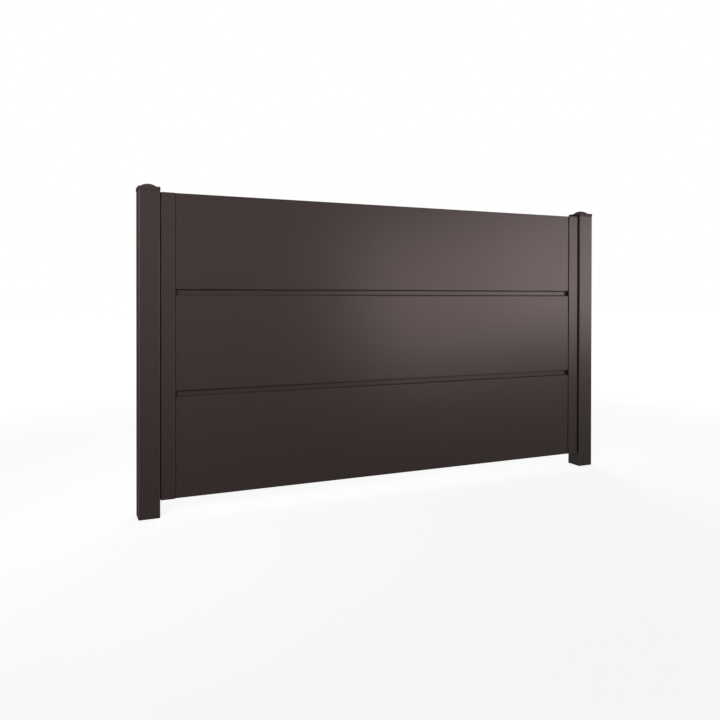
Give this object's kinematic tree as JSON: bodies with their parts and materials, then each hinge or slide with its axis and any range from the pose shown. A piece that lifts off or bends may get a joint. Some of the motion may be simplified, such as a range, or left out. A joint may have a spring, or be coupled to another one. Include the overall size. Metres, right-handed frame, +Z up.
{
  "type": "fence panel",
  "caption": "Solid fence panel of wide flat horizontal boards with recessed grooves between them, framed by narrow stiles and held between square posts with domed caps.",
  "frame": {"origin": "on the ground, midway between the posts and midway through their depth", "axes": "+X along the fence to the right seen from the front, +Y from the front to the back, +Z up"},
  "size_m": [2.1824, 0.0824, 1.2705],
  "materials": {
    "coated_metal": "satin powder coat, dark grey-brown",
    "cap_plastic": "satin moulded, dark grey-brown",
    "dark_plastic": "matt moulded, near black",
    "screw_steel": "zinc plated"
  },
  "bodies": {
    "root": {"board_screws": "screw_steel", "bottom_board": "coated_metal", "bracket_post_screws": "screw_steel", "bracket_stile_screws": "screw_steel", "left_bottom_board_end_cap": "dark_plastic", "left_bottom_bracket": "coated_metal", "left_middle_board_end_cap": "dark_plastic", "left_middle_bracket": "coated_metal", "left_post": "coated_metal", "left_post_cap": "cap_plastic", "left_stile": "coated_metal", "left_stile_bottom_plug": "dark_plastic", "left_stile_top_plug": "dark_plastic", "left_top_board_end_cap": "dark_plastic", "left_top_bracket": "coated_metal", "middle_board": "coated_metal", "right_bottom_board_end_cap": "dark_plastic", "right_bottom_bracket": "coated_metal", "right_middle_board_end_cap": "dark_plastic", "right_middle_bracket": "coated_metal", "right_post": "coated_metal", "right_post_cap": "cap_plastic", "right_stile": "coated_metal", "right_stile_bottom_plug": "dark_plastic", "right_stile_top_plug": "dark_plastic", "right_top_board_end_cap": "dark_plastic", "right_top_bracket": "coated_metal", "top_board": "coated_metal"}
  },
  "joints": []
}
